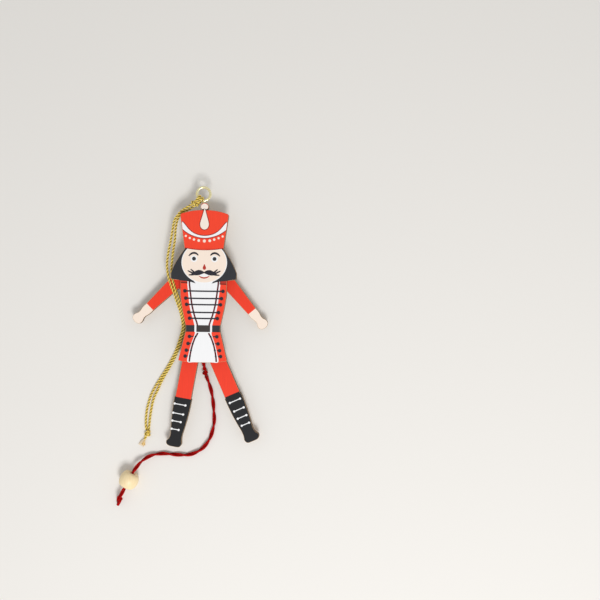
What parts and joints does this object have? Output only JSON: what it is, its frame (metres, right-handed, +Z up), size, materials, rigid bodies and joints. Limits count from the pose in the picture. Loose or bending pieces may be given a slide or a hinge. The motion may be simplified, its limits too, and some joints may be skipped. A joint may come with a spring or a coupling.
{
  "type": "jumping jack",
  "caption": "Flat wooden nutcracker jumping jack: a printed body board with pegged arms and legs that swing up when its beaded cord is pulled, on a screw eye with a hanging loop.",
  "frame": {"origin": "under the middle of the figure, measured without its free cords, on the surface that it lies on", "axes": "+X across the figure to the viewer's right, +Y from the boots to the hat, +Z up out of the printed face"},
  "size_m": [0.0762, 0.1625, 0.0109],
  "materials": {
    "printed_panel": "printed, satin",
    "printed_limb": "printed, satin",
    "peg_wood": "bare, matt",
    "washer_fibre": "bare, matt",
    "bead_wood": "bare, smooth",
    "eye_brass": "bright",
    "red_cord": "twisted cotton",
    "gold_cord": "twisted metallic thread"
  },
  "bodies": {
    "torso": {"front_panel": "printed_panel", "screw_eye": "eye_brass", "left_shoulder_peg": "peg_wood", "left_shoulder_washer": "washer_fibre", "right_shoulder_peg": "peg_wood", "right_shoulder_washer": "washer_fibre", "left_hip_peg": "peg_wood", "left_hip_washer": "washer_fibre", "right_hip_peg": "peg_wood", "right_hip_washer": "washer_fibre", "hanging_knot": "gold_cord", "hanging_hitch": "gold_cord", "hanging_cord_left": "gold_cord", "hanging_cord_right": "gold_cord", "hanging_tail": "gold_cord"},
    "left_arm": {"left_arm": "printed_limb"},
    "right_arm": {"right_arm": "printed_limb"},
    "left_leg": {"left_leg": "printed_limb"},
    "right_leg": {"right_leg": "printed_limb"},
    "pull": {"arm_string": "red_cord", "leg_string": "red_cord", "left_arm_knot": "red_cord", "right_arm_knot": "red_cord", "left_leg_knot": "red_cord", "right_leg_knot": "red_cord", "arm_tie_knot": "red_cord", "leg_tie_knot": "red_cord", "draw_string": "red_cord", "draw_cord": "red_cord", "gather_knot": "red_cord", "pull_cord": "red_cord", "end_knot": "red_cord", "pull_tail": "red_cord"},
    "bead": {"pull_bead": "bead_wood"}
  },
  "joints": [
    {"name": "pull_slide", "type": "slide", "parent": "torso", "child": "pull", "axis": [0, -1, 0], "range_m": [-0.0006, 0.0036]},
    {"name": "left_shoulder_hinge", "type": "hinge", "parent": "torso", "child": "left_arm", "pos_m": [-0.00748, 0.01437, 0.0042], "axis": [0, 0, 1], "range_deg": [-62, 10.4]},
    {"name": "right_shoulder_hinge", "type": "hinge", "parent": "torso", "child": "right_arm", "pos_m": [0.00892, 0.01437, 0.0042], "axis": [0, 0, 1], "range_deg": [-10.4, 62]},
    {"name": "left_hip_hinge", "type": "hinge", "parent": "torso", "child": "left_leg", "pos_m": [-0.00513, -0.01623, 0.0042], "axis": [0, 0, 1], "range_deg": [-48.7, 8.2]},
    {"name": "right_hip_hinge", "type": "hinge", "parent": "torso", "child": "right_leg", "pos_m": [0.00807, -0.01623, 0.0042], "axis": [0, 0, 1], "range_deg": [-8.2, 48.7]},
    {"name": "bead_slide", "type": "slide", "parent": "pull", "child": "bead", "axis": [-0.456, -0.89, 0], "range_m": [0, 0.0035]}
  ],
  "couplings": [
    {"joint": "left_shoulder_hinge", "follows": "pull_slide", "rad_per_m": -300.2},
    {"joint": "right_shoulder_hinge", "follows": "pull_slide", "rad_per_m": 300.2},
    {"joint": "left_hip_hinge", "follows": "pull_slide", "rad_per_m": -235.6},
    {"joint": "right_hip_hinge", "follows": "pull_slide", "rad_per_m": 235.6}
  ]
}
